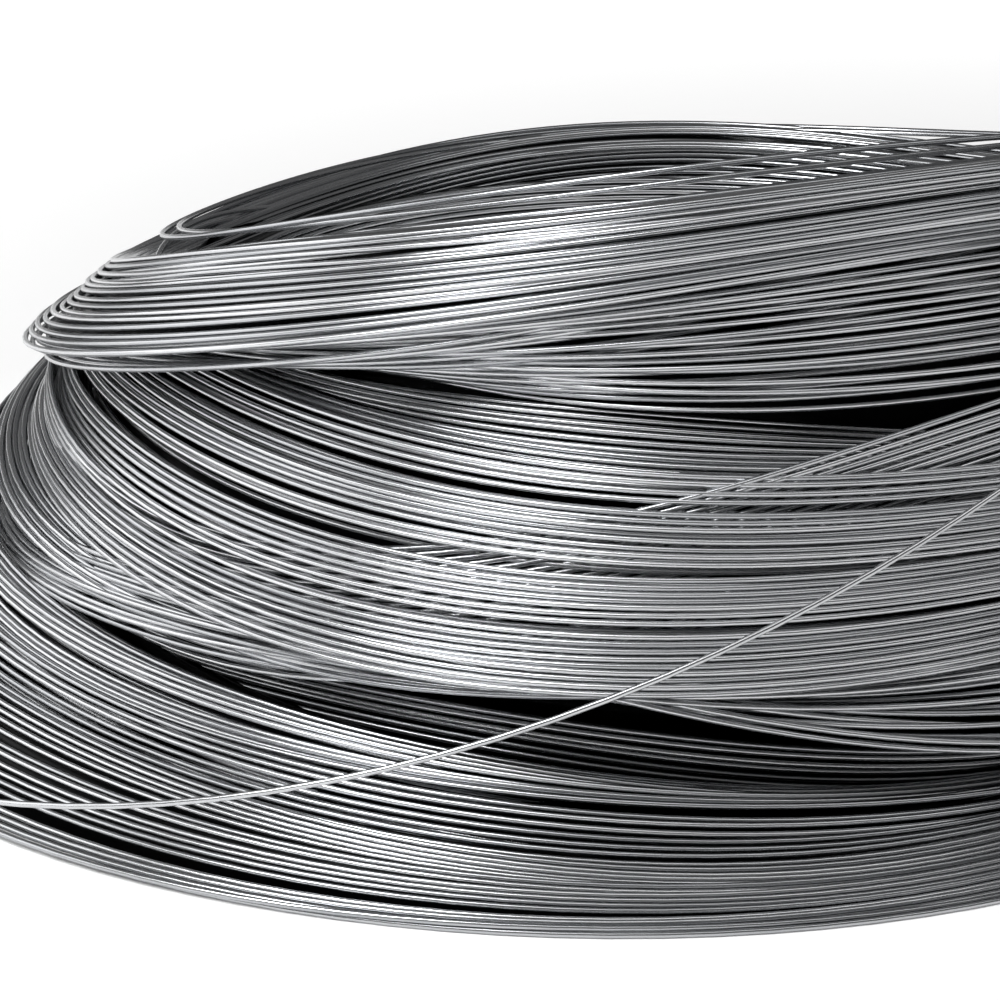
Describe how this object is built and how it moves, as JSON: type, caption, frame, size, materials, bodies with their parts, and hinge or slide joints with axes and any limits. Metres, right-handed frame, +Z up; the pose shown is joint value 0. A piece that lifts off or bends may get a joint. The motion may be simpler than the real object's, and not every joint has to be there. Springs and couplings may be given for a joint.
{
  "type": "coil of spring steel wire",
  "caption": "Coil of bright drawn spring steel wire, lying flat, its lays of turns slipped and tilted on one another round an open bore.",
  "frame": {"origin": "on the floor that the coil lies on, on the axis of the bore", "axes": "+Z up along the bore's axis, out of its upper mouth; -Y towards the front, where the upper lays are raised; +X to the right"},
  "size_m": [0.5685, 0.5831, 0.2018],
  "materials": {
    "drawn_wire": "bright drawn"
  },
  "bodies": {
    "root": {"inner_turns": "drawn_wire", "bottom_lay": "drawn_wire", "lower_thin_lay": "drawn_wire", "upper_thin_lay": "drawn_wire", "shoulder_lay": "drawn_wire", "outer_fan": "drawn_wire", "middle_fan": "drawn_wire", "inner_fan": "drawn_wire", "top_lay": "drawn_wire", "loose_turns": "drawn_wire"}
  },
  "joints": []
}
